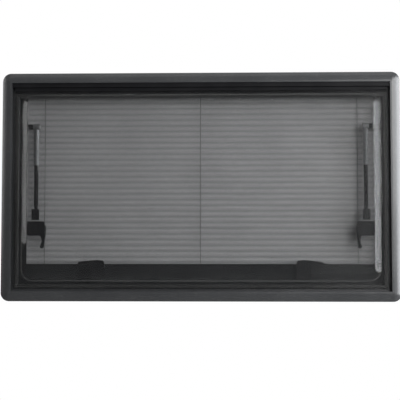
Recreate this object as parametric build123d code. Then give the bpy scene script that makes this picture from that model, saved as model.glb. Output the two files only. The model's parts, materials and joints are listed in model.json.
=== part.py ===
from build123d import *
import os
from math import cos, radians, sin, sqrt

# Top-hung caravan window, closed: a double acrylic sash in a mitred frame that clamps the
# vehicle's wall against an inner frame with a pleated blind. Millimetres. Seen from outside,
# X runs to the right, Y into the vehicle and Z up. The wall's outer skin is the plane y = 0.
# Pieces are drawn about the middle of the window and lifted to the origin when they are written.

# Wall and its cut-out
cutout_width = 900.0
cutout_height = 500.0
wall_thickness = 28.0

# Outer frame section: distances out from the edge of the cut-out, heights over the outer skin
flange_lap = 20.0
flange_height = 12.0
flange_edge = 3.5
nose_bulge = 1.4
pocket_lip = 4.0
collar_gap = 1.5
collar_relief = 0.5
screw_rail_width = 12.5
ledge_reach = 20.0
ledge_depth = 5.0
ledge_thickness = 3.0

# Sash
pane_gap = 6.0
hinge_band = 16.5
sheet = 3.0
pane_front = 7.0
rim_width = 16.0
top_rim_width = 10.0
field_rise = 13.0
field_slope = 54.0
field_corner = 29.0
field_edge_round = 8.0
field_foot_round = 6.0

# Seal on the ledge
seal_width = 9.0
seal_inset = 0.5
seal_gap = 0.3
seal_round = 2.5
top_seal_drop = 8.0

# Hinge: a bead on the sash strip turns in a socket of the hinge rail
bead_radius = 3.5
bead_clearance = 0.1
hinge_depth = 3.5
hinge_drop = 7.5
hinge_rail_height = 13.0
hinge_rail_front = 9.0
hinge_rail_end_gap = 0.3
neck = 2.0
neck_clearance = 0.4
strip_wall = 1.5
strip_front_leg = 2.5
strip_back_leg = 6.5
opening_angle = 50.0

# Inner frame and blind
trim = 3.0
channel_wall = 3.0
channel_depth = 24.0
channel_chamfer = 4.0
trim_corner = 16.0
foot_width = 9.0
side_front_lip = 28.0
bottom_lip = 63.0
top_front_lip = 20.0
top_back_lip = 16.0
pleat_pitch = 13.8
pleat_depth = 8.0
fabric = 0.4
fabric_side_gap = 5.0
pull_rail_height = 12.0
pull_rail_depth = 14.0
pull_grip_reach = 10.0
pull_grip_thickness = 4.0
cord_diameter = 1.2
cord_end_gap = 0.3
cord_face_gap = 0.3
cord_hole = 2.4
cord_spacing = 376.0

# Telescopic stays
stay_inset = 58.0
stay_depth = 15.0
stay_drop = 94.5
stay_length = 210.0
stay_head_radius = 8.0
stay_head_width = 14.0
stay_pin_radius = 3.0
pin_clearance = 0.05
side_clearance = 0.3
stay_tube_radius = 6.5
stay_tube_wall = 1.2
stay_tube_length = 92.0
collar_radius = 5.2
collar_plug = 12.0
collar_taper = 16.0
collar_tip_rise = 10.0
collar_tip_radius = 3.6
rod_radius = 2.5
rod_clearance = 0.2
rod_drop = 34.0
eye_radius = 5.0
eye_width = 6.0
bracket_plate = 3.0
bracket_arm = 8.0
bracket_arm_height = 12.0
bracket_plate_height = 26.0
bracket_plate_depth = 13.0
ear_thickness = 4.0
ear_radius = 7.0
sash_plate_height = 26.0
sash_plate_width = 18.0

# Turn latches
latch_height = 7.0
latch_lift = 0.3
lever_thickness = 9.5
hub_radius = 16.0
button_radius = 8.0
button_height = 1.5
tail_width = 9.0
tail_reach = 47.0
tail_fall = 3.5
tail_droop = 4.0
tail_web = 20.0
tongue_width = 20.0
tongue_thickness = 6.0
tongue_reach = 35.0
base_width = 34.0
base_above = 15.0
base_below = 30.0
base_corner = 6.0
base_draft = 8.0
latch_pin_radius = 4.0
latch_pin_gap = 0.3
bottom_latch_inset = 197.0
bottom_latch_rise = 51.0
side_latch_inset = 57.0
side_latch_drop = 33.0

# Worked-out places
half_cut_x = cutout_width / 2
half_cut_z = cutout_height / 2
pocket_x = half_cut_x - pocket_lip
pocket_z = half_cut_z - pocket_lip
ledge_x = half_cut_x - ledge_reach
ledge_z = half_cut_z - ledge_reach
ledge_back = ledge_depth + ledge_thickness
rail_inner = collar_gap + screw_rail_width
collar_depth = wall_thickness - collar_relief
foot_x = half_cut_x - collar_gap / 2
foot_z = half_cut_z - collar_gap / 2
pane_x = pocket_x - pane_gap
pane_top = pocket_z - hinge_band
pane_low = -pocket_z + pane_gap
pane_width = 2 * pane_x
pane_height = pane_top - pane_low
pane_middle = (pane_top + pane_low) / 2
sheet_joint = pane_front - sheet
pane_back = sheet_joint - sheet
hinge_z = pocket_z - hinge_drop
seal_x = pane_x - seal_inset
seal_low = pane_low + seal_inset
seal_top = pane_top - top_seal_drop
channel_front = wall_thickness + trim
channel_back = channel_front + channel_depth
blind_y = (channel_front + channel_back) / 2
cord_y = blind_y - pleat_depth / 2 - cord_face_gap - cord_diameter / 2
pull_rail_low = pocket_z - top_front_lip
stay_x = half_cut_x - stay_inset
stay_top = hinge_z - stay_drop
stay_bottom = stay_top - stay_length
stay_tube_end = stay_top - stay_tube_length
collar_tip = stay_bottom + collar_tip_rise
collar_taper_start = collar_tip + collar_taper
rod_top = stay_top - rod_drop
lever_low = -pane_back + latch_height + latch_lift
lever_top = lever_low + lever_thickness
bottom_latch_x = pane_x - bottom_latch_inset
bottom_latch_z = pane_low + bottom_latch_rise
side_latch_x = pane_x - side_latch_inset
side_latch_z = stay_bottom - side_latch_drop
lift = half_cut_z + (flange_lap - collar_gap) / 2


def box(x0, x1, y0, y1, z0, z1):
    """A block between two corners."""
    middle = Pos((x0 + x1) / 2, (y0 + y1) / 2, (z0 + z1) / 2)
    return middle * Box(abs(x1 - x0), abs(y1 - y0), abs(z1 - z0))


def along_x(points, half_length):
    """A closed outline of (y, z) points, drawn out to both sides along X."""
    return extrude(Plane.YZ * make_face(Polyline(*points, close=True)), half_length, both=True)


def along_y(outline, y0, y1):
    """A flat outline in X and Z, drawn out from depth y0 to depth y1."""
    return extrude(Plane.XZ.offset(-y1) * outline, y1 - y0)


def rod_x(radius, x0, x1, y, z):
    """A round bar along X."""
    return Pos((x0 + x1) / 2, y, z) * Rot(0, 90, 0) * Cylinder(radius, abs(x1 - x0))


def rod_y(radius, y0, y1, x, z):
    """A round bar along Y."""
    return Pos(x, (y0 + y1) / 2, z) * Rot(90, 0, 0) * Cylinder(radius, abs(y1 - y0))


def rod_z(radius, z0, z1, x, y):
    """A round bar along Z."""
    return Pos(x, y, (z0 + z1) / 2) * Cylinder(radius, abs(z1 - z0))


def frame_rail(half_length, half_offset):
    """One mitred frame member, drawn as the top one, with half of each rounded corner."""
    inner = [
        (-flange_height, -pocket_lip),
        (-flange_height, 0),
        (0, 0),
        (0, -collar_gap),
        (collar_depth, -collar_gap),
        (collar_depth, -rail_inner),
        (ledge_back, -rail_inner),
        (ledge_back, -ledge_reach),
        (ledge_depth, -ledge_reach),
        (ledge_depth, -pocket_lip),
    ]
    bar = along_x([(y, half_offset + u) for y, u in inner], half_length)
    mitre = Polygon(
        (-half_length + ledge_reach, half_offset - ledge_reach),
        (half_length - ledge_reach, half_offset - ledge_reach),
        (half_length, half_offset),
        (-half_length, half_offset),
        align=None,
    )
    bar = bar & along_y(mitre, -flange_height, collar_depth)
    crest = (-flange_height, half_offset)
    edge = (-flange_edge, half_offset + flange_lap)
    back = (0, half_offset + flange_lap)
    root = (0, half_offset)
    nose = make_face(
        [
            SagittaArc(crest, edge, nose_bulge),
            Line(edge, back),
            Line(back, root),
            Line(root, crest),
        ]
    )
    bar += extrude(Plane.YZ * nose, half_length, both=True)
    for side in (-1, 1):
        end = Plane.YZ.offset(side * half_length) * nose
        turn = Axis((side * half_length, 0, half_offset), (0, side, 0))
        bar += revolve(end, turn, 45)
    return bar


def hinge_rail():
    """Black extrusion in the top of the pocket, with a socket that opens down and outward."""
    low = pocket_z - hinge_rail_height
    half_length = pocket_x - hinge_rail_end_gap
    block = box(-half_length, half_length, -hinge_rail_front, ledge_depth, low, pocket_z)
    block -= rod_x(bead_radius + bead_clearance, -half_length, half_length, -hinge_depth, hinge_z)
    slot = neck / 2 + neck_clearance
    reach = 2 * hinge_rail_height
    angle = radians(opening_angle)
    out = (-sin(angle), -cos(angle))
    up = (-cos(angle), sin(angle))
    mouth = [
        (-hinge_depth + slot, hinge_z),
        (-hinge_depth + slot, hinge_z - reach),
        (-hinge_depth + reach * out[0], hinge_z - reach),
        (-hinge_depth + slot * up[0] + reach * out[0], hinge_z + slot * up[1] + reach * out[1]),
        (-hinge_depth + slot * up[0], hinge_z + slot * up[1]),
    ]
    return block - along_x(mouth, half_length)


def hinge_strip():
    """Channel over the pane's top edge, with the neck and the bead that hang it."""
    web = [
        (-pane_front - strip_wall, pane_top + strip_wall),
        (-pane_front - strip_wall, pane_top - strip_front_leg),
        (-pane_front, pane_top - strip_front_leg),
        (-pane_front, pane_top),
        (-pane_back, pane_top),
        (-pane_back, pane_top - strip_back_leg),
        (-pane_back + strip_wall, pane_top - strip_back_leg),
        (-pane_back + strip_wall, pane_top + strip_wall),
    ]
    strip = along_x(web, pane_x)
    front = -hinge_depth - neck / 2
    strip += box(-pane_x, pane_x, front, front + neck, pane_top + strip_wall / 2, hinge_z)
    return strip + rod_x(bead_radius, -pane_x, pane_x, -hinge_depth, hinge_z)


def outer_pane():
    """Formed outer sheet: a flat rim round a field that is raised outward with sloped sides."""
    rim = along_y(Pos(0, pane_middle) * Rectangle(pane_width, pane_height), -pane_front, -sheet_joint)
    width = pane_width - 2 * rim_width
    height = pane_height - rim_width - top_rim_width
    middle = pane_middle + (rim_width - top_rim_width) / 2
    field = Pos(0, middle) * RectangleRounded(width, height, field_corner)
    raised = extrude(Plane.XZ.offset(pane_front) * field, field_rise, taper=field_slope)
    top_edges = raised.faces().sort_by(Axis.Y)[0].edges()
    pane = rim + fillet(top_edges, field_edge_round)
    front = pane.faces().filter_by(Axis.Y).filter_by(lambda face: len(face.inner_wires()) == 1)
    foot = front.sort_by(Axis.Y)[0].inner_wires()[0].edges()
    pane = fillet(foot, field_foot_round)
    slope = radians(field_slope)
    shift = sheet / cos(slope) - sheet * sin(slope) / cos(slope)
    hollow = Pos(0, middle) * RectangleRounded(width - 2 * shift, height - 2 * shift, field_corner - shift)
    cavity = extrude(Plane.XZ.offset(sheet_joint) * hollow, field_rise, taper=field_slope)
    return pane - cavity


def inner_pane():
    """Flat inner sheet, bonded to the outer sheet along its rim."""
    return along_y(Pos(0, pane_middle) * Rectangle(pane_width, pane_height), -sheet_joint, -pane_back)


def sash_seal():
    """Rubber ring on the ledge, with a rounded face toward the sash."""
    height = seal_top - seal_low
    middle = (seal_top + seal_low) / 2
    ring = Rectangle(2 * seal_x, height) - Rectangle(2 * seal_x - 2 * seal_width, height - 2 * seal_width)
    front = -pane_back + seal_gap
    seal = along_y(Pos(0, middle) * ring, front, ledge_depth)
    face = seal.faces().filter_by(Axis.Y).sort_by(Axis.Y)[0]
    return fillet(face.edges(), seal_round)


def top_rail():
    """The top frame member, whose ledge runs further down behind the hinge to carry the seal."""
    low = seal_top - seal_width - seal_inset
    strip = box(-ledge_x, ledge_x, ledge_depth, ledge_back, low, ledge_z)
    return frame_rail(half_cut_x, half_cut_z) + strip


def channel(half_offset, front_lip, back_lip, half_length):
    """The blind's guide channel, drawn as the top member, with its foot on the frame's end faces."""
    inner = pocket_lip + channel_wall
    outline = [
        (collar_depth, -pocket_lip),
        (channel_back - channel_chamfer, -pocket_lip),
        (channel_back, -pocket_lip - channel_chamfer),
        (channel_back, -pocket_lip - back_lip),
        (channel_back - channel_wall, -pocket_lip - back_lip),
        (channel_back - channel_wall, -inner),
        (channel_front + channel_wall, -inner),
        (channel_front + channel_wall, -pocket_lip - front_lip),
        (channel_front, -pocket_lip - front_lip),
        (channel_front, -pocket_lip - foot_width),
        (collar_depth, -pocket_lip - foot_width),
    ]
    return along_x([(y, half_offset + u) for y, u in outline], half_length)


def cassette(front_lip, back_lip):
    """Full-width inner frame member with closed ends, drawn as the top one."""
    piece = channel(half_cut_z, front_lip, back_lip, pocket_x)
    for side in (-1, 1):
        end = [
            (channel_front, pocket_z),
            (channel_back - channel_chamfer, pocket_z),
            (channel_back, pocket_z - channel_chamfer),
            (channel_back, pocket_z - back_lip),
            (channel_front, pocket_z - back_lip),
        ]
        cap = Pos(side * (pocket_x - channel_wall / 2), 0, 0) * along_x(end, channel_wall / 2)
        piece += cap
    half_trim = half_cut_x + flange_lap
    top = half_cut_z + flange_lap
    plate = box(-half_trim, half_trim, wall_thickness, channel_front, pocket_z, top)
    corners = plate.edges().filter_by(Axis.Y).group_by(Axis.Z)[-1]
    foot = box(-foot_x, foot_x, collar_depth, wall_thickness, pocket_z, foot_z)
    return piece + fillet(corners, trim_corner) + foot


def side_guide():
    """Right-hand inner frame member: a guide channel between the cassettes, with its wall trim."""
    low = -pocket_z + bottom_lip
    high = pocket_z - top_front_lip
    guide = Rot(0, 90, 0) * channel(half_cut_x, side_front_lip, side_front_lip, (high - low) / 2)
    guide = Pos(0, 0, (high + low) / 2) * guide
    edge = half_cut_x + flange_lap
    guide += box(pocket_x, edge, wall_thickness, channel_front, -pocket_z, pocket_z)
    return guide + box(pocket_x, foot_x, collar_depth, wall_thickness, -pocket_z, pocket_z)


def cords():
    """Where the tension cords of the blind run."""
    return [-cord_spacing, 0, cord_spacing]


def blind_fabric():
    """Pleated sheet from the floor of the bottom cassette to the pull rail."""
    low = -pocket_z + channel_wall
    high = pull_rail_low
    pleats = round((high - low) / pleat_pitch)
    step = (high - low) / (2 * pleats)
    front = [(blind_y - pleat_depth / 2 * (-1) ** i, low + i * step) for i in range(2 * pleats + 1)]
    slant = fabric * sqrt(step**2 + pleat_depth**2) / step
    back = [(y + slant, z) for y, z in reversed(front)]
    return along_x(front + back, pocket_x - channel_wall - fabric_side_gap)


def blind_cords():
    """Taut cords along the outer folds, from cassette to cassette."""
    end = pocket_z - channel_wall - cord_end_gap
    return Part() + [rod_z(cord_diameter / 2, -end, end, x, cord_y) for x in cords()]


def pull_rail():
    """Rail on the blind's upper edge, with a grip that shows under the cassette's inner wall."""
    half_length = pocket_x - channel_wall - fabric_side_gap
    high = pull_rail_low + pull_rail_height
    half_depth = pull_rail_depth / 2
    rail = box(-half_length, half_length, blind_y - half_depth, blind_y + half_depth, pull_rail_low, high)
    grip_half = cord_spacing / 4
    grip = box(
        -grip_half,
        grip_half,
        blind_y + half_depth,
        blind_y + half_depth + pull_grip_reach,
        pull_rail_low,
        pull_rail_low + pull_grip_thickness,
    )
    rail += grip
    for x in cords():
        rail -= rod_z(cord_hole / 2, pull_rail_low, high, x, cord_y)
    return rail


def stay_frame_bracket():
    """Right-hand bracket on the frame's inner face, with the pin that the stay swings on."""
    wall = half_cut_x - rail_inner
    arm_end = stay_x + stay_head_width / 2 + side_clearance
    half_plate = bracket_plate_height / 2
    half_depth = bracket_plate_depth / 2
    plate = box(
        wall - bracket_plate,
        wall,
        stay_depth - half_depth,
        stay_depth + half_depth,
        stay_top - half_plate,
        stay_top + half_plate,
    )
    half_arm = bracket_arm / 2
    half_height = bracket_arm_height / 2
    arm = box(
        arm_end,
        wall - bracket_plate,
        stay_depth - half_arm,
        stay_depth + half_arm,
        stay_top - half_height,
        stay_top + half_height,
    )
    pin = rod_x(stay_pin_radius, stay_x - stay_head_width / 2, arm_end, stay_depth, stay_top)
    return plate + arm + pin


def stay_tube():
    """Right-hand stay's upper tube and the head that turns on the bracket's pin."""
    left = stay_x - stay_head_width / 2
    right = stay_x + stay_head_width / 2
    head = rod_x(stay_head_radius, left, right, stay_depth, stay_top)
    tube = rod_z(stay_tube_radius, stay_tube_end, stay_top, stay_x, stay_depth)
    top = stay_top - stay_head_radius
    tube -= rod_z(stay_tube_radius - stay_tube_wall, stay_tube_end, top, stay_x, stay_depth)
    bore = rod_x(stay_pin_radius + pin_clearance, left, right, stay_depth, stay_top)
    return tube + head - bore


def stay_collar():
    """Black friction sleeve below the tube, plugged into it and tapered toward the rod."""
    plug_radius = stay_tube_radius - stay_tube_wall
    bore = rod_radius + rod_clearance
    outline = Polyline(
        (bore, stay_tube_end + collar_plug),
        (plug_radius, stay_tube_end + collar_plug),
        (plug_radius, stay_tube_end),
        (collar_radius, stay_tube_end),
        (collar_radius, collar_taper_start),
        (collar_tip_radius, collar_tip),
        (bore, collar_tip),
        close=True,
    )
    sleeve = revolve(Plane.XZ * make_face(outline), Axis.Z)
    return Pos(stay_x, stay_depth, 0) * sleeve


def stay_rod():
    """Right-hand stay's rod, with the flat eye that the sash bracket carries."""
    half_eye = eye_width / 2
    eye = rod_x(eye_radius, stay_x - half_eye, stay_x + half_eye, stay_depth, stay_bottom)
    return eye + rod_z(rod_radius, stay_bottom, rod_top, stay_x, stay_depth)


def stay_sash_bracket():
    """Right-hand bracket on the inner sheet, with an ear beside the rod's eye."""
    ear_low = stay_x + eye_width / 2 + side_clearance
    ear_high = ear_low + ear_thickness
    half_plate = sash_plate_height / 2
    plate = box(
        ear_high - sash_plate_width,
        ear_high,
        -pane_back,
        -pane_back + bracket_plate,
        stay_bottom - half_plate,
        stay_bottom + half_plate,
    )
    ear = rod_x(ear_radius, ear_low, ear_high, stay_depth, stay_bottom)
    ear += box(
        ear_low, ear_high, -pane_back, stay_depth, stay_bottom - ear_radius, stay_bottom + ear_radius
    )
    return plate + ear


def latch_base():
    """Foot of a latch on the inner sheet, with the lever's pin, drawn about the pin's axis."""
    height = base_above + base_below
    outline = Pos(0, (base_above - base_below) / 2) * RectangleRounded(base_width, height, base_corner)
    foot = extrude(Plane.XZ.offset(pane_back) * outline, -latch_height, taper=base_draft)
    pin_top = lever_top - latch_pin_gap
    return foot + rod_y(latch_pin_radius, -pane_back + latch_height, pin_top, 0, 0)


def latch_lever():
    """Latch lever at rest: tongue down toward the frame and tail out to the left."""
    half_tongue = tongue_width / 2
    tail_low = hub_radius - tail_width
    tail_top = hub_radius - tail_droop
    tip = tail_width / 2
    tail_end = tip - tail_reach
    web_x = -half_tongue - tail_web
    web_low = tail_low - tail_web
    outline = make_face(
        [
            Line((tail_end, tail_top), (0, hub_radius)),
            CenterArc((0, 0), hub_radius, 0, 90),
            Line((hub_radius, 0), (half_tongue, -tongue_reach)),
            Line((half_tongue, -tongue_reach), (-half_tongue, -tongue_reach)),
            Line((-half_tongue, -tongue_reach), (-half_tongue, web_low)),
            CenterArc((web_x, web_low), tail_web, 0, 90),
            Line((web_x, tail_low), (tail_end, tail_top - tail_width)),
            CenterArc((tail_end, tail_top - tip), tip, 90, 180),
        ]
    )
    lever = along_y(outline, lever_low, lever_top)
    step = lever_low + tongue_thickness
    lever -= box(-hub_radius, hub_radius, step, lever_top, -tongue_reach, -hub_radius)
    slope = Polygon(
        (-tail_reach, lever_top - tail_fall),
        (-hub_radius, lever_top),
        (-tail_reach, lever_top),
        align=None,
    )
    lever -= extrude(Plane.XY.offset(-hub_radius) * slope, 2 * hub_radius)
    lever += rod_y(button_radius, lever_top, lever_top + button_height, 0, 0)
    return lever - rod_y(latch_pin_radius + pin_clearance, lever_low, lever_top, 0, 0)


def mirrored(shape):
    """The left-hand twin of a right-hand piece, or the other way round."""
    return mirror(shape, Plane.YZ)


parts = {
    "frame_top_rail": top_rail(),
    "frame_bottom_rail": Rot(0, 180, 0) * frame_rail(half_cut_x, half_cut_z),
    "frame_right_stile": Rot(0, 90, 0) * frame_rail(half_cut_z, half_cut_x),
    "frame_left_stile": Rot(0, -90, 0) * frame_rail(half_cut_z, half_cut_x),
    "hinge_rail": hinge_rail(),
    "sash_seal": sash_seal(),
    "inner_frame_top": cassette(top_front_lip, top_back_lip),
    "inner_frame_bottom": Rot(0, 180, 0) * cassette(bottom_lip, bottom_lip),
    "inner_frame_right": side_guide(),
    "inner_frame_left": mirrored(side_guide()),
    "blind_fabric": blind_fabric(),
    "blind_cords": blind_cords(),
    "blind_pull_rail": pull_rail(),
    "outer_pane": outer_pane(),
    "inner_pane": inner_pane(),
    "sash_hinge_strip": hinge_strip(),
}

for name, make in (
    ("stay_frame_bracket", stay_frame_bracket),
    ("stay_tube", stay_tube),
    ("stay_collar", stay_collar),
    ("stay_rod", stay_rod),
    ("stay_sash_bracket", stay_sash_bracket),
):
    parts["right_" + name] = make()
    parts["left_" + name] = mirrored(make())

for name, make in (("latch_base", latch_base), ("latch_lever", latch_lever)):
    bottom_left = Pos(-bottom_latch_x, 0, bottom_latch_z) * make()
    right = Pos(side_latch_x, 0, side_latch_z) * Rot(0, -90, 0) * make()
    parts["bottom_left_" + name] = bottom_left
    parts["bottom_right_" + name] = mirrored(bottom_left)
    parts["right_" + name] = right
    parts["left_" + name] = mirrored(right)

os.makedirs("parts", exist_ok=True)
for node, shape in parts.items():
    export_step(Pos(0, 0, lift) * shape, f"parts/{node}.step")
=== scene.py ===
import json
import math

import bpy
from mathutils import Matrix, Vector

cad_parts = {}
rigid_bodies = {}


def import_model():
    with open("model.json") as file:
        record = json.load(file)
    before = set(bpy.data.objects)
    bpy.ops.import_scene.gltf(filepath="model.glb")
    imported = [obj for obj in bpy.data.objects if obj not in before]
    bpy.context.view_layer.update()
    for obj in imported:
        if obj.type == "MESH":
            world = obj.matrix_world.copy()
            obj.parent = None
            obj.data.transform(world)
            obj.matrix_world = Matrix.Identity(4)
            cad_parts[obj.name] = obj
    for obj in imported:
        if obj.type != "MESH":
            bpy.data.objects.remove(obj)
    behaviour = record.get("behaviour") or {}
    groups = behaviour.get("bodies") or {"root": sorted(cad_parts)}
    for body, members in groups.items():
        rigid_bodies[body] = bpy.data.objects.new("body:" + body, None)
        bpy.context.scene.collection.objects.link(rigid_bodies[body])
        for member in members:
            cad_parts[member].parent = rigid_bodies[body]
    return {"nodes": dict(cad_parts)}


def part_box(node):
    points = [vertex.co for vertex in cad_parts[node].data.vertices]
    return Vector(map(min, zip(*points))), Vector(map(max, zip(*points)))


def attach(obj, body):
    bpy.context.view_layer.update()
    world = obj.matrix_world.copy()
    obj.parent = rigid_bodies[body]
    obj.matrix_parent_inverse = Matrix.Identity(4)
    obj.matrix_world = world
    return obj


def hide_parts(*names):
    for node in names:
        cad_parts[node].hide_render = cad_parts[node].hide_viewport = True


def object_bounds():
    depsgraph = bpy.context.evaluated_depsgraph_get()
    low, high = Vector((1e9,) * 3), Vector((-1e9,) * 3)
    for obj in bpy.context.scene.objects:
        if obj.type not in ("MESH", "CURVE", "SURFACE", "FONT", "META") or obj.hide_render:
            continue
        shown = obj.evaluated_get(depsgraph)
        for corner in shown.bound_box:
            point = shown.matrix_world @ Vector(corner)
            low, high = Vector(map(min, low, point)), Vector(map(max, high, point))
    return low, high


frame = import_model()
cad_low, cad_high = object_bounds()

scene = bpy.context.scene
scene.view_settings.view_transform = "Standard"
cad = frame["nodes"]
middle = (cad_low + cad_high) / 2
sides = {"right": 1, "left": -1}
latches = ("bottom_left", "bottom_right", "right", "left")

# Most of a noise lies between these two values.
noise_low = 0.3
noise_high = 0.7

# A wave texture of scale one makes so many bands to the metre.
bands_at_scale_one = 3.18

# Scales that pull a pattern out along one axis.
along_x = (0.02, 1, 1)
along_z = (1, 1, 0.02)


# Finishes

def start_finish(name):
    """A new finish: its material, node tree, shader and the object's own coordinates."""
    material = bpy.data.materials.new(name)
    material.use_nodes = True
    tree = material.node_tree
    place = tree.nodes.new("ShaderNodeTexCoord")
    return material, tree, tree.nodes["Principled BSDF"], place.outputs["Object"]


def stretched(tree, place, scale):
    """Coordinates pulled out along some axes, for marks that run one way."""
    mapping = tree.nodes.new("ShaderNodeMapping")
    mapping.inputs["Scale"].default_value = scale
    tree.links.new(place, mapping.inputs["Vector"])
    return mapping.outputs["Vector"]


def cloud(tree, place, per_metre, detail=3.0, rough=0.5):
    """Soft noise with about so many patches to the metre."""
    noise = tree.nodes.new("ShaderNodeTexNoise")
    noise.inputs["Scale"].default_value = per_metre
    noise.inputs["Detail"].default_value = detail
    noise.inputs["Roughness"].default_value = rough
    tree.links.new(place, noise.inputs["Vector"])
    return noise.outputs["Fac"]


def pebbles(tree, place, per_metre):
    """Rounded cells of a moulded grain."""
    cells = tree.nodes.new("ShaderNodeTexVoronoi")
    cells.feature = "SMOOTH_F1"
    cells.inputs["Scale"].default_value = per_metre
    tree.links.new(place, cells.inputs["Vector"])
    return cells.outputs["Distance"]


def threads(tree, place, direction, per_metre):
    """Even lines across one direction."""
    lines = tree.nodes.new("ShaderNodeTexWave")
    lines.bands_direction = direction
    lines.inputs["Scale"].default_value = per_metre / bands_at_scale_one
    lines.inputs["Distortion"].default_value = 0.6
    tree.links.new(place, lines.inputs["Vector"])
    return lines.outputs["Fac"]


def spread(tree, factor, low, high, start=noise_low, end=noise_high):
    """A factor stretched to a range of numbers."""
    node = tree.nodes.new("ShaderNodeMapRange")
    node.inputs["From Min"].default_value = start
    node.inputs["From Max"].default_value = end
    node.inputs["To Min"].default_value = low
    node.inputs["To Max"].default_value = high
    tree.links.new(factor, node.inputs["Value"])
    return node.outputs["Result"]


def tones(tree, factor, dark, light):
    """Two colours spread over a noise."""
    node = tree.nodes.new("ShaderNodeValToRGB")
    first, last = node.color_ramp.elements
    first.position = noise_low
    first.color = (*dark, 1)
    last.position = noise_high
    last.color = (*light, 1)
    tree.links.new(factor, node.inputs["Fac"])
    return node.outputs["Color"]


def layer(tree, under, over, amount, blend="MIX"):
    """One colour laid over another by an amount."""
    node = tree.nodes.new("ShaderNodeMix")
    node.data_type = "RGBA"
    node.blend_type = blend
    under_colour, over_colour = node.inputs[6], node.inputs[7]
    mixed_colour = node.outputs[2]
    tree.links.new(amount, node.inputs["Factor"])
    tree.links.new(under, under_colour)
    tree.links.new(over, over_colour)
    return mixed_colour


def relief(tree, shader, *heights):
    """Bumps laid on each other, each a factor with its strength and height in metres."""
    normal = None
    for factor, strength, height in heights:
        node = tree.nodes.new("ShaderNodeBump")
        node.inputs["Strength"].default_value = strength
        node.inputs["Distance"].default_value = height
        tree.links.new(factor, node.inputs["Height"])
        if normal is not None:
            tree.links.new(normal, node.inputs["Normal"])
        normal = node.outputs["Normal"]
    tree.links.new(normal, shader.inputs["Normal"])


def stove_enamel(name, run):
    """Charcoal stove enamel with orange peel, rub marks along the rail and a little road dust."""
    material, tree, shader, place = start_finish(name)
    clouds = cloud(tree, place, 7)
    peel = cloud(tree, place, 420, detail=2)
    rubs = cloud(tree, stretched(tree, place, run), 60, detail=5)
    dust = cloud(tree, place, 150, detail=9, rough=0.65)
    paint = tones(tree, clouds, (0.012, 0.0125, 0.0135), (0.018, 0.0187, 0.0198))
    grain = tones(tree, peel, (0.80, 0.80, 0.80), (1.0, 1.0, 1.0))
    paint = layer(tree, paint, grain, spread(tree, rubs, 0.4, 1.0), "MULTIPLY")
    grey = tones(tree, clouds, (0.06, 0.059, 0.057), (0.09, 0.088, 0.085))
    paint = layer(tree, paint, grey, spread(tree, dust, 0.0, 0.16, start=0.52, end=0.72))
    tree.links.new(paint, shader.inputs["Base Color"])
    tree.links.new(spread(tree, rubs, 0.30, 0.42), shader.inputs["Roughness"])
    shader.inputs["Specular IOR Level"].default_value = 0.38
    relief(tree, shader, (peel, 0.10, 0.0003), (clouds, 0.02, 0.002))
    return material


def black_anodised_with_painted_shade():
    """Drawn black extrusion of the hinge, with fine lines along its length, its black set darker than
    the anodising to paint in the shade of its recess.
    """
    material, tree, shader, place = start_finish("black_anodised_with_painted_shade")
    lines = cloud(tree, stretched(tree, place, along_x), 1300)
    patches = cloud(tree, place, 16, detail=4)
    dust = cloud(tree, place, 240, detail=8, rough=0.6)
    # Painted shade: the anodised black, darkened further to stand in for the shadow in the hinge's
    # recess.
    tone = tones(tree, patches, (0.0025, 0.0025, 0.003), (0.005, 0.005, 0.0055))
    grey = tones(tree, patches, (0.03, 0.03, 0.029), (0.05, 0.049, 0.047))
    tone = layer(tree, tone, grey, spread(tree, dust, 0.0, 0.06, start=0.55, end=0.75))
    tree.links.new(tone, shader.inputs["Base Color"])
    tree.links.new(spread(tree, lines, 0.34, 0.48), shader.inputs["Roughness"])
    shader.inputs["Specular IOR Level"].default_value = 0.05
    relief(tree, shader, (lines, 0.12, 0.0002))
    return material


def tinted_acrylic(name, opacity):
    """Grey-tinted clear sheet, faintly wavy from forming, with wiped smudges."""
    material, tree, shader, place = start_finish(name)
    smudges = cloud(tree, place, 8, detail=6, rough=0.6)
    wiped = cloud(tree, stretched(tree, place, (1, 1, 0.25)), 40, detail=6)
    waves = cloud(tree, place, 5, detail=1)
    tone = tones(tree, smudges, (0.003, 0.0033, 0.0036), (0.007, 0.0074, 0.0078))
    film = tones(tree, wiped, (0.02, 0.0205, 0.021), (0.04, 0.041, 0.042))
    tone = layer(tree, tone, film, spread(tree, wiped, 0.0, 0.2, start=0.5, end=0.75))
    tree.links.new(tone, shader.inputs["Base Color"])
    tree.links.new(spread(tree, smudges, 0.03, 0.09), shader.inputs["Roughness"])
    shader.inputs["Alpha"].default_value = opacity
    shader.inputs["IOR"].default_value = 1.49
    relief(tree, shader, (waves, 0.02, 0.0005))
    return material


def seal_rubber():
    """Black sponge rubber with a grey bloom."""
    material, tree, shader, place = start_finish("seal_rubber")
    bloom = cloud(tree, place, 30, detail=6, rough=0.6)
    pores = cloud(tree, place, 1800, detail=2)
    tone = tones(tree, bloom, (0.009, 0.009, 0.009), (0.024, 0.024, 0.023))
    tree.links.new(tone, shader.inputs["Base Color"])
    tree.links.new(spread(tree, bloom, 0.62, 0.82), shader.inputs["Roughness"])
    relief(tree, shader, (pores, 0.35, 0.0002))
    return material


def grained_plastic(name, dark, light, polish):
    """Moulded plastic with a fine pebble grain, worn smoother in patches."""
    material, tree, shader, place = start_finish(name)
    grain = pebbles(tree, place, 850)
    worn = cloud(tree, place, 22, detail=5, rough=0.6)
    flecks = cloud(tree, place, 600)
    tone = tones(tree, worn, dark, light)
    speck = tones(tree, flecks, (0.82, 0.82, 0.82), (1.0, 1.0, 1.0))
    tone = layer(tree, tone, speck, spread(tree, grain, 0.3, 0.9), "MULTIPLY")
    tree.links.new(tone, shader.inputs["Base Color"])
    tree.links.new(spread(tree, worn, polish + 0.10, polish - 0.06), shader.inputs["Roughness"])
    shader.inputs["Specular IOR Level"].default_value = 0.25
    relief(tree, shader, (grain, 0.25, 0.0002), (worn, 0.03, 0.001))
    return material


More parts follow.
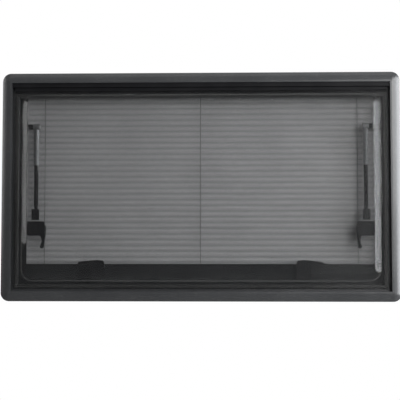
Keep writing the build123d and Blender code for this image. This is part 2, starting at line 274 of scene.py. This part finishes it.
def pleated_cloth():
    """Grey blackout cloth: a plain weave with thicker threads here and there, and painted shade that
    darkens the back folds of the pleats.
    """
    material, tree, shader, _ = start_finish("pleated_cloth")
    cut = tree.nodes.new("ShaderNodeUVMap").outputs["UV"]
    warp = threads(tree, cut, "X", 1500)
    weft = threads(tree, cut, "Y", 1500)
    slubs = cloud(tree, stretched(tree, cut, (0.03, 1, 1)), 420, detail=4, rough=0.6)
    patches = cloud(tree, cut, 9, detail=4)
    # Reads the mask of painted shade that the blind sheet carries.
    painted_fold_shade = tree.nodes.new("ShaderNodeAttribute")
    painted_fold_shade.attribute_name = "painted_fold_shade"
    tone = tones(tree, patches, (0.265, 0.267, 0.269), (0.30, 0.302, 0.304))
    thick = tones(tree, slubs, (0.88, 0.88, 0.88), (1.0, 1.0, 1.0))
    tone = layer(tree, tone, thick, spread(tree, warp, 0.6, 1.0), "MULTIPLY")
    # Painted shade: a darker cloth colour for the back folds, standing in for the shade inside the
    # pleats.
    fold_shade_colour = tones(tree, slubs, (0.145, 0.146, 0.148), (0.175, 0.176, 0.178))
    fold_shade_amount = spread(tree, painted_fold_shade.outputs["Fac"], 0.0, 0.8, start=0.0, end=1.0)
    tone = layer(tree, tone, fold_shade_colour, fold_shade_amount)
    tree.links.new(tone, shader.inputs["Base Color"])
    tree.links.new(spread(tree, weft, 0.78, 0.9), shader.inputs["Roughness"])
    shader.inputs["Sheen Weight"].default_value = 0.15
    relief(tree, shader, (warp, 0.2, 0.0002), (weft, 0.2, 0.0002), (slubs, 0.2, 0.0003))
    return material


def braided_cord():
    """Dark tension cord with its strands on the slant."""
    material, tree, shader, place = start_finish("braided_cord")
    strands = threads(tree, stretched(tree, place, (1, 1, 0.6)), "DIAGONAL", 1400)
    dirt = cloud(tree, place, 45, detail=5)
    tone = tones(tree, strands, (0.035, 0.035, 0.037), (0.075, 0.075, 0.078))
    shade = tones(tree, dirt, (0.75, 0.75, 0.75), (1.0, 1.0, 1.0))
    tone = layer(tree, tone, shade, spread(tree, dirt, 0.5, 1.0), "MULTIPLY")
    tree.links.new(tone, shader.inputs["Base Color"])
    tree.links.new(spread(tree, dirt, 0.65, 0.85), shader.inputs["Roughness"])
    relief(tree, shader, (strands, 0.5, 0.0003))
    return material


def brushed_metal(name, dark, light, polish, run):
    """Bright metal with fine lines along its length and dull finger marks."""
    material, tree, shader, place = start_finish(name)
    lines = cloud(tree, stretched(tree, place, run), 1500)
    marks = cloud(tree, place, 35, detail=5, rough=0.6)
    tone = tones(tree, marks, dark, light)
    streak = tones(tree, lines, (0.85, 0.85, 0.85), (1.0, 1.0, 1.0))
    tone = layer(tree, tone, streak, spread(tree, marks, 0.5, 1.0), "MULTIPLY")
    tree.links.new(tone, shader.inputs["Base Color"])
    tree.links.new(spread(tree, marks, polish, polish + 0.14), shader.inputs["Roughness"])
    shader.inputs["Metallic"].default_value = 1.0
    relief(tree, shader, (lines, 0.1, 0.0001))
    return material


rail_enamel = stove_enamel("rail_enamel", along_x)
stile_enamel = stove_enamel("stile_enamel", along_z)
hinge_finish_with_painted_shade = black_anodised_with_painted_shade()
outer_acrylic = tinted_acrylic("outer_acrylic", opacity=0.17)
inner_acrylic = tinted_acrylic("inner_acrylic", opacity=0.13)
rubber = seal_rubber()
trim_plastic = grained_plastic(
    "trim_plastic", (0.011, 0.0113, 0.0118), (0.017, 0.0174, 0.0181), polish=0.5
)
latch_plastic = grained_plastic(
    "latch_plastic", (0.005, 0.005, 0.0055), (0.009, 0.009, 0.0095), polish=0.42
)
cloth = pleated_cloth()
cord_finish = braided_cord()
tube_metal = brushed_metal(
    "tube_metal", (0.22, 0.225, 0.23), (0.28, 0.285, 0.29), polish=0.55, run=along_z
)
rod_steel = brushed_metal(
    "rod_steel", (0.55, 0.55, 0.56), (0.68, 0.68, 0.69), polish=0.2, run=along_z
)
zinc = brushed_metal("zinc", (0.42, 0.42, 0.41), (0.58, 0.58, 0.57), polish=0.3, run=along_x)

finishes = {
    "frame_top_rail": rail_enamel,
    "frame_bottom_rail": rail_enamel,
    "frame_right_stile": stile_enamel,
    "frame_left_stile": stile_enamel,
    "hinge_rail": hinge_finish_with_painted_shade,
    "sash_hinge_strip": hinge_finish_with_painted_shade,
    "sash_seal": rubber,
    "inner_frame_top": trim_plastic,
    "inner_frame_bottom": trim_plastic,
    "inner_frame_right": trim_plastic,
    "inner_frame_left": trim_plastic,
    "blind_fabric": cloth,
    "blind_cords": cord_finish,
    "blind_pull_rail": trim_plastic,
    "outer_pane": outer_acrylic,
    "inner_pane": inner_acrylic,
}
for side in sides:
    finishes[side + "_stay_frame_bracket"] = latch_plastic
    finishes[side + "_stay_tube"] = tube_metal
    finishes[side + "_stay_collar"] = latch_plastic
    finishes[side + "_stay_rod"] = rod_steel
    finishes[side + "_stay_sash_bracket"] = latch_plastic
for latch in latches:
    finishes[latch + "_latch_base"] = latch_plastic
    finishes[latch + "_latch_lever"] = latch_plastic
for name, material in finishes.items():
    slots = cad[name].data.materials
    slots.clear()
    slots.append(material)


# Pleated blind

def pleated_blind():
    """The drawn blind as one pleated sheet, with soft folds that wander a little, carrying a mask of
    painted shade along its back folds.
    """
    low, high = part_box("blind_fabric")
    fold_pitch = 0.0138
    pleats = round((high.z - low.z) / fold_pitch)
    rows_per_pleat = 12
    depth_share = 0.17
    crispness = 0.75
    wander_share = 0.05
    wander_per_fold = 3.1
    wander_across = 5.0
    cloth_thickness = 0.0004
    columns = 60
    rows = pleats * rows_per_pleat
    depth = (high.y - low.y) / 2
    centre = (high.y + low.y) / 2
    bpy.ops.object.select_all(action="DESELECT")
    bpy.ops.mesh.primitive_grid_add(x_subdivisions=columns, y_subdivisions=rows, size=1)
    sheet = bpy.context.object
    sheet.name = "blind_sheet"
    painted_fold_shade = sheet.data.attributes.new("painted_fold_shade", "FLOAT", "POINT")
    length = 0.0
    last = None
    for point in sheet.data.vertices:
        across = point.co.x + 0.5
        down = point.co.y + 0.5
        turn = down * pleats
        step = abs(2 * (turn % 1.0) - 1)
        soft = 0.5 - 0.5 * math.cos(math.pi * step)
        swing = 2 * (crispness * step + (1 - crispness) * soft) - 1
        phase = wander_per_fold * math.floor(turn) + wander_across * across
        wander = wander_share * math.sin(phase)
        x = low.x + (high.x - low.x) * across
        y = centre - depth * (depth_share + wander) * swing
        z = low.z + (high.z - low.z) * down
        point.co = (x, y, z)
        # Mask of painted shade: 1 at each back fold, fading to 0 at the front folds.
        painted_fold_shade.data[point.index].value = (1 - step) ** 2
    for row in range(rows + 1):
        point = sheet.data.vertices[row * (columns + 1)].co
        if last is not None:
            length += (point - last).length
        last = point
    width = high.x - low.x
    for corner in sheet.data.uv_layers.active.data:
        corner.uv = (corner.uv.x * width, corner.uv.y * length)
    thick = sheet.modifiers.new("Cloth", "SOLIDIFY")
    thick.thickness = cloth_thickness
    thick.offset = 0
    bpy.ops.object.modifier_apply(modifier="Cloth")
    bpy.ops.object.shade_smooth_by_angle(angle=math.radians(35))
    sheet.data.materials.append(cloth)
    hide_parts("blind_fabric")
    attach(sheet, "frame")


pleated_blind()


# Small fittings

def start_piece(name):
    """The primitive just added becomes a piece with its place in its mesh."""
    piece = bpy.context.object
    piece.name = name
    bpy.ops.object.transform_apply(location=True, rotation=True, scale=True)
    return piece


def choose_faces(piece, wanted):
    """Edit mode with only the wanted faces selected."""
    bpy.ops.object.mode_set(mode="EDIT")
    bpy.ops.mesh.select_mode(type="FACE")
    bpy.ops.mesh.select_all(action="DESELECT")
    bpy.ops.object.mode_set(mode="OBJECT")
    for face in piece.data.polygons:
        face.select = wanted(face)
    bpy.ops.object.mode_set(mode="EDIT")


def choose_edges(piece, wanted):
    """Edit mode with only the wanted edges selected, each told by its two ends."""
    bpy.ops.object.mode_set(mode="EDIT")
    bpy.ops.mesh.select_mode(type="EDGE")
    bpy.ops.mesh.select_all(action="DESELECT")
    bpy.ops.object.mode_set(mode="OBJECT")
    points = piece.data.vertices
    for edge in piece.data.edges:
        first, last = edge.vertices
        edge.select = wanted(points[first].co, points[last].co)
    bpy.ops.object.mode_set(mode="EDIT")


def end_piece(piece, material):
    """Back to object mode, with outward faces, smooth rounds and a finish."""
    bpy.ops.mesh.select_all(action="SELECT")
    bpy.ops.mesh.normals_make_consistent(inside=False)
    bpy.ops.object.mode_set(mode="OBJECT")
    bpy.ops.object.shade_smooth_by_angle(angle=math.radians(40))
    piece.data.materials.append(material)


def place_copy(pattern, name, stance, body):
    """A copy of a modelled piece with its own mesh, moved into place on a body."""
    piece = pattern.copy()
    piece.data = pattern.data.copy()
    piece.name = name
    piece.data.transform(stance)
    if stance.determinant() < 0:
        piece.data.flip_normals()
    scene.collection.objects.link(piece)
    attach(piece, body)


def screw_pattern():
    """Pan-head screw with a cross recess, facing into the vehicle."""
    head_radius = 0.0026
    head_height = 0.0018
    head_round = 0.0010
    recess_size = (0.0030, 0.0016, 0.0006)
    recess_floor = 0.0008
    recess_taper = 0.7
    bpy.ops.object.select_all(action="DESELECT")
    bpy.ops.mesh.primitive_cylinder_add(
        vertices=24, radius=head_radius, depth=head_height,
        location=(0, head_height / 2, 0), rotation=(math.pi / 2, 0, 0)
    )
    screw = start_piece("screw_pattern")
    choose_edges(screw, lambda a, b: min(a.y, b.y) > head_height / 2)
    bpy.ops.mesh.bevel(offset=head_round, segments=4, affect="EDGES")
    end_piece(screw, zinc)
    bpy.ops.object.select_all(action="DESELECT")
    middle_y = recess_floor + recess_size[1] / 2
    bpy.ops.mesh.primitive_cube_add(size=1, location=(0, middle_y, 0), scale=recess_size)
    cross = start_piece("cross_recess")
    choose_faces(cross, lambda face: abs(face.normal.x) > 0.9)
    bpy.ops.transform.resize(value=(1, 1, recess_taper))
    bpy.ops.mesh.select_all(action="SELECT")
    bpy.ops.mesh.duplicate()
    bpy.ops.transform.rotate(value=math.pi / 2, orient_axis="Y", center_override=(0, 0, 0))
    bpy.ops.object.mode_set(mode="OBJECT")
    bpy.ops.object.select_all(action="DESELECT")
    screw.select_set(True)
    bpy.context.view_layer.objects.active = screw
    recess = screw.modifiers.new("Recess", "BOOLEAN")
    recess.object = cross
    recess.use_self = True
    bpy.ops.object.modifier_apply(modifier="Recess")
    bpy.data.objects.remove(cross)
    return screw


def rivet_pattern():
    """Domed pin head on a short neck, facing into the vehicle."""
    head_radius = 0.0042
    dome_share = 0.45
    neck_height = 0.0003
    neck_inset = 0.0014
    bpy.ops.object.select_all(action="DESELECT")
    bpy.ops.mesh.primitive_uv_sphere_add(segments=24, ring_count=12, radius=head_radius)
    rivet = start_piece("rivet_pattern")
    bpy.ops.object.mode_set(mode="EDIT")
    bpy.ops.mesh.select_all(action="SELECT")
    bpy.ops.mesh.bisect(plane_co=(0, 0, 0), plane_no=(0, 1, 0), clear_inner=True, use_fill=True)
    bpy.ops.mesh.select_all(action="SELECT")
    bpy.ops.transform.resize(value=(1, dome_share, 1), center_override=(0, 0, 0))
    bpy.ops.transform.translate(value=(0, neck_height, 0))
    choose_faces(rivet, lambda face: face.normal.y < -0.9)
    bpy.ops.mesh.inset(thickness=neck_inset)
    bpy.ops.mesh.extrude_region_move(TRANSFORM_OT_translate={"value": (0, -neck_height, 0)})
    end_piece(rivet, zinc)
    return rivet


def button_pattern():
    """Dished release button on a latch's hub, facing into the vehicle."""
    radius = 0.0062
    height = 0.0012
    lip = 0.0010
    dish = 0.0003
    dish_taper = 0.9
    edge_round = 0.0003
    bpy.ops.object.select_all(action="DESELECT")
    bpy.ops.mesh.primitive_cylinder_add(
        vertices=32, radius=radius, depth=height,
        location=(0, height / 2, 0), rotation=(math.pi / 2, 0, 0)
    )
    button = start_piece("button_pattern")
    choose_faces(button, lambda face: face.normal.y > 0.9)
    bpy.ops.mesh.inset(thickness=lip)
    bpy.ops.mesh.extrude_region_move(TRANSFORM_OT_translate={"value": (0, -dish, 0)})
    bpy.ops.transform.resize(value=(dish_taper, 1, dish_taper))
    bpy.ops.mesh.inset(thickness=2 * lip)
    bpy.ops.transform.translate(value=(0, -dish, 0))
    choose_edges(button, lambda a, b: min(a.y, b.y) > height - dish / 2)
    bpy.ops.mesh.bevel(offset=edge_round, segments=2, affect="EDGES")
    end_piece(button, latch_plastic)
    return button


def rib_pattern():
    """Three rounded ribs across a latch's tail, which falls away to its tip."""
    first_rib = (-0.030, 0.01412, 0.0087)
    rib_size = (0.0016, 0.0014, 0.0060)
    rib_step = (-0.005, -0.00057, -0.0005)
    rib_round = 0.0005
    more_ribs = 2
    bpy.ops.object.select_all(action="DESELECT")
    bpy.ops.mesh.primitive_cube_add(size=1, location=first_rib, scale=rib_size)
    ribs = start_piece("rib_pattern")
    choose_edges(ribs, lambda a, b: min(a.y, b.y) > first_rib[1])
    bpy.ops.mesh.bevel(offset=rib_round, segments=3, affect="EDGES")
    for _ in range(more_ribs):
        bpy.ops.mesh.select_linked()
        bpy.ops.mesh.duplicate()
        bpy.ops.transform.translate(value=rib_step)
    end_piece(ribs, latch_plastic)
    return ribs


def slider_pattern():
    """Slide on the right end of the pull rail, with two shoes toward the cassette's end wall."""
    plate_size = (0.0024, 0.0110, 0.0094)
    plate_set_back = 0.007
    plate_round = 0.0006
    shoe_reach = 0.0020
    shoe_taper = (1, 0.9, 0.8)
    half_gap = 0.0015
    long_edge = 0.0015
    low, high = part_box("blind_pull_rail")
    middle_y = low.y + plate_set_back
    bpy.ops.object.select_all(action="DESELECT")
    bpy.ops.mesh.primitive_cube_add(
        size=1, scale=plate_size,
        location=(high.x + plate_size[0] / 2, middle_y, (low.z + high.z) / 2)
    )
    slider = start_piece("slider_pattern")
    bpy.ops.object.mode_set(mode="EDIT")
    for cut in (middle_y - half_gap, middle_y + half_gap):
        bpy.ops.mesh.select_all(action="SELECT")
        bpy.ops.mesh.bisect(plane_co=(0, cut, 0), plane_no=(0, 1, 0))
    choose_faces(
        slider, lambda face: face.normal.x > 0.9 and abs(face.center.y - middle_y) > half_gap
    )
    bpy.ops.mesh.extrude_region_move(TRANSFORM_OT_translate={"value": (shoe_reach, 0, 0)})
    bpy.ops.transform.resize(value=shoe_taper)
    choose_edges(slider, lambda a, b: abs(a.x - b.x) > long_edge)
    bpy.ops.mesh.bevel(offset=plate_round, segments=2, affect="EDGES")
    end_piece(slider, latch_plastic)
    return slider


def bond_bead_and_painted_shade_line():
    """Black bead of adhesive between the two sheets, round the foot of the raised field, which also
    paints in the dark line of reflected shade along the field's foot.
    """
    rim = 0.0170
    top_rim = 0.0110
    corner = 0.0280
    width = 0.0026
    thickness = 0.0005
    low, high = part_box("inner_pane")
    half = high.x - rim
    bottom = low.z + rim
    top = high.z - top_rim
    bpy.ops.object.select_all(action="DESELECT")
    bpy.ops.mesh.primitive_plane_add(
        size=1, location=(0, low.y, (bottom + top) / 2), rotation=(math.pi / 2, 0, 0)
    )
    bpy.ops.transform.resize(value=(2 * half, 1, top - bottom))
    bead = start_piece("bond_bead_and_painted_shade_line")
    bpy.ops.object.mode_set(mode="EDIT")
    bpy.ops.mesh.select_all(action="SELECT")
    bpy.ops.mesh.bevel(offset=corner, segments=10, affect="VERTICES")
    bpy.ops.mesh.select_all(action="SELECT")
    bpy.ops.mesh.inset(thickness=width)
    bpy.ops.mesh.delete(type="FACE")
    bpy.ops.mesh.select_all(action="SELECT")
    bpy.ops.mesh.extrude_region_move(TRANSFORM_OT_translate={"value": (0, -thickness, 0)})
    # The black is the adhesive's own and also painted shade: the dark line the field's foot shows
    # where it reflects the frame's shaded pocket.
    end_piece(bead, rubber)
    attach(bead, "sash")


def fit_small_parts():
    """Screws, pin heads, buttons, grip ribs and blind slides, each on the piece that carries it."""
    bracket_plate = 0.003
    ear_radius = 0.007
    sash_screw_inset = 0.007
    sash_screw_rise = 0.0085
    frame_screw_rise = 0.0097
    hub_radius = 0.016
    screw = screw_pattern()
    rivet = rivet_pattern()
    button = button_pattern()
    ribs = rib_pattern()
    slider = slider_pattern()
    mirror = Matrix.Scale(-1, 4, (1, 0, 0))
    face_left = Matrix.Rotation(math.pi / 2, 4, "Z")
    for side, sign in sides.items():
        flip = Matrix.Identity(4) if sign > 0 else mirror
        low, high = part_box("right_stay_sash_bracket")
        foot = (low.z + high.z) / 2
        for label, rise in (("upper", sash_screw_rise), ("lower", -sash_screw_rise)):
            spot = Matrix.Translation((low.x + sash_screw_inset, low.y + bracket_plate, foot + rise))
            place_copy(screw, f"{side}_sash_bracket_{label}_screw", flip @ spot, "sash")
        spot = Matrix.Translation((high.x, high.y - ear_radius, foot)) @ face_left.inverted()
        place_copy(rivet, f"{side}_eye_pin_head", flip @ spot, "sash")
        low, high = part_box("right_stay_frame_bracket")
        pin = (low.z + high.z) / 2
        depth = (low.y + high.y) / 2
        for label, rise in (("upper", frame_screw_rise), ("lower", -frame_screw_rise)):
            spot = Matrix.Translation((high.x - bracket_plate, depth, pin + rise)) @ face_left
            place_copy(screw, f"{side}_frame_bracket_{label}_screw", flip @ spot, "frame")
        spot = Matrix.Translation((low.x, depth, pin)) @ face_left
        place_copy(rivet, f"{side}_stay_pin_head", flip @ spot, "frame")
        place_copy(slider, f"{side}_blind_slide", flip, "frame")
    turns = {"bottom": Matrix.Identity(4), "side": Matrix.Rotation(-math.pi / 2, 4, "Y")}
    for latch in latches:
        low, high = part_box(latch + "_latch_lever")
        toward_left = latch in ("bottom_left", "left")
        pivot_x = high.x - hub_radius if toward_left else low.x + hub_radius
        pivot = Vector((pivot_x, 0, high.z - hub_radius))
        turn = turns["bottom" if latch.startswith("bottom") else "side"]
        if latch in ("bottom_right", "left"):
            turn = mirror @ turn
        stance = Matrix.Translation(pivot) @ turn
        raised = stance @ Matrix.Translation((0, high.y, 0))
        place_copy(button, latch + "_latch_button", raised, latch + "_latch")
        place_copy(ribs, latch + "_latch_ribs", stance, latch + "_latch")
    for pattern in (screw, rivet, button, ribs, slider):
        bpy.data.objects.remove(pattern)


fit_small_parts()
bond_bead_and_painted_shade_line()


# Camera, floor and lights

def look_along(yaw, pitch):
    """A direction into the picture, turned to the right and up by small angles in radians."""
    flat = math.cos(pitch)
    return Vector((math.sin(yaw) * flat, math.cos(yaw) * flat, math.sin(pitch)))


camera_right = 0.0528
camera_front = 2.0
camera_below = 0.1359
camera_yaw = -0.0265
camera_pitch = 0.0519
lens = bpy.data.cameras.new("camera")
lens.sensor_width = 36
lens.lens = 76.49
camera = bpy.data.objects.new("camera", lens)
scene.collection.objects.link(camera)
camera.location = (middle.x + camera_right, -camera_front, middle.z - camera_below)
camera.rotation_mode = "QUATERNION"
camera.rotation_quaternion = look_along(camera_yaw, camera_pitch).to_track_quat("-Z", "Y")
scene.camera = camera


def level_plane(name, near, far, level):
    """A wide level plane from one depth to another."""
    half_width = 60
    bpy.ops.object.select_all(action="DESELECT")
    bpy.ops.mesh.primitive_plane_add(size=1)
    plane = bpy.context.object
    plane.name = name
    corners = [(-half_width, near), (half_width, near), (-half_width, far), (half_width, far)]
    for point, corner in zip(plane.data.vertices, corners):
        point.co = (*corner, level)
    return plane


def pale_floor():
    """Plain pale paint of the floor."""
    pale = bpy.data.materials.new("pale_floor")
    pale.use_nodes = True
    paint = pale.node_tree.nodes["Principled BSDF"]
    paint.inputs["Base Color"].default_value = (0.36, 0.36, 0.36, 1)
    paint.inputs["Roughness"].default_value = 0.8
    return pale


def white_backdrop():
    """White cover that glows to the camera, in reflections and through clear sheets."""
    white = bpy.data.materials.new("white_backdrop")
    white.use_nodes = True
    tree = white.node_tree
    cover = tree.nodes["Principled BSDF"]
    cover.inputs["Base Color"].default_value = (0.8, 0.8, 0.8, 1)
    cover.inputs["Roughness"].default_value = 0.9
    glow = tree.nodes.new("ShaderNodeEmission")
    rays = tree.nodes.new("ShaderNodeLightPath")
    seen = rays.outputs["Is Camera Ray"]
    for other in ("Is Glossy Ray", "Is Transmission Ray"):
        most = tree.nodes.new("ShaderNodeMath")
        most.operation = "MAXIMUM"
        tree.links.new(seen, most.inputs[0])
        tree.links.new(rays.outputs[other], most.inputs[1])
        seen = most.outputs["Value"]
    mix = tree.nodes.new("ShaderNodeMixShader")
    tree.links.new(seen, mix.inputs["Fac"])
    tree.links.new(cover.outputs["BSDF"], mix.inputs[1])
    tree.links.new(glow.outputs["Emission"], mix.inputs[2])
    tree.links.new(mix.outputs["Shader"], tree.nodes["Material Output"].inputs["Surface"])
    return white


def studio_floor():
    """Pale floor under the window, and behind it a white backdrop that turns up to a wall."""
    floor_drop = 0.8
    floor_front = -60
    floor_end = 0.28
    wall_depth = 4.0
    wall_height = 15
    floor_z = cad_low.z - floor_drop
    floor = level_plane("studio_floor", floor_front, floor_end, floor_z)
    floor.data.materials.append(pale_floor())
    backdrop = level_plane("studio_backdrop", floor_end, wall_depth, floor_z)
    choose_edges(backdrop, lambda a, b: min(a.y, b.y) > wall_depth - 0.1)
    bpy.ops.mesh.extrude_region_move(TRANSFORM_OT_translate={"value": (0, 0, wall_height)})
    bpy.ops.object.mode_set(mode="OBJECT")
    backdrop.data.materials.append(white_backdrop())


studio_floor()


def softbox(name, place, aim, width, height, watts, grid):
    """A rectangular lamp at a place, facing a point, with a grid that narrows its beam."""
    lamp = bpy.data.lights.new(name, "AREA")
    lamp.shape = "RECTANGLE"
    lamp.size = width
    lamp.size_y = height
    lamp.energy = watts
    lamp.spread = math.radians(grid)
    holder = bpy.data.objects.new(name, lamp)
    scene.collection.objects.link(holder)
    holder.location = place
    facing = (Vector(aim) - Vector(place)).to_track_quat("-Z", "Y")
    holder.rotation_mode = "QUATERNION"
    holder.rotation_quaternion = facing
    holder.visible_camera = False
    return holder


right_softbox = softbox(
    "right_softbox", (2.42, -0.62, 0.6), (0.45, 0, 0.35), width=1.4, height=2.2, watts=104, grid=140
)
right_softbox.data.color = (0.95, 0.975, 1.0)
softbox(
    "front_right_softbox", (1.5, -1.8, 0.9), (0.1, 0, 0.3), width=1.3, height=1.2, watts=26, grid=120
)
front_fill = softbox(
    "front_fill", (0.9, -1.9, 0.45), (0.35, 0, 0.3), width=1.0, height=1.0, watts=24, grid=120
)
front_fill.visible_glossy = False
softbox(
    "left_softbox", (-2.45, -0.2, 0.9), (-0.46, 0, 0.3), width=0.5, height=1.6, watts=14, grid=150
)
softbox("overhead", (0, -0.62, 2.4), (0, 0, 0.5), width=2.4, height=0.5, watts=7, grid=150)
glow_panel = softbox(
    "glow_panel", (0.62, -3.0, 0.35), (0.62, 0, 0.35), width=1.0, height=2.4, watts=7, grid=180
)


def fade_across(lamp):
    """A lamp whose glow fades out toward one side."""
    lamp.use_nodes = True
    tree = lamp.node_tree
    across = tree.nodes.new("ShaderNodeSeparateXYZ")
    surface = tree.nodes.new("ShaderNodeNewGeometry")
    tree.links.new(surface.outputs["Parametric"], across.inputs["Vector"])
    fade = spread(tree, across.outputs["X"], 0.0, 1.0, start=0.22, end=0.75)
    tree.links.new(fade, tree.nodes["Emission"].inputs["Strength"])


fade_across(glow_panel.data)


def studio_sky():
    """Grey surroundings, dark at the horizon and below it."""
    greys = ((0.0, 0.15), (0.12, 0.45), (0.3, 0.5))
    world = bpy.data.worlds.new("studio")
    scene.world = world
    world.use_nodes = True
    tree = world.node_tree
    rise = tree.nodes.new("ShaderNodeSeparateXYZ")
    direction = tree.nodes.new("ShaderNodeTexCoord")
    tree.links.new(direction.outputs["Generated"], rise.inputs["Vector"])
    ramp = tree.nodes.new("ShaderNodeValToRGB")
    tree.links.new(rise.outputs["Z"], ramp.inputs["Fac"])
    ramp.color_ramp.elements.new(greys[1][0])
    for stop, (position, grey) in zip(ramp.color_ramp.elements, greys):
        stop.position = position
        stop.color = (grey, grey, grey, 1)
    tree.links.new(ramp.outputs["Color"], tree.nodes["Background"].inputs["Color"])


studio_sky()
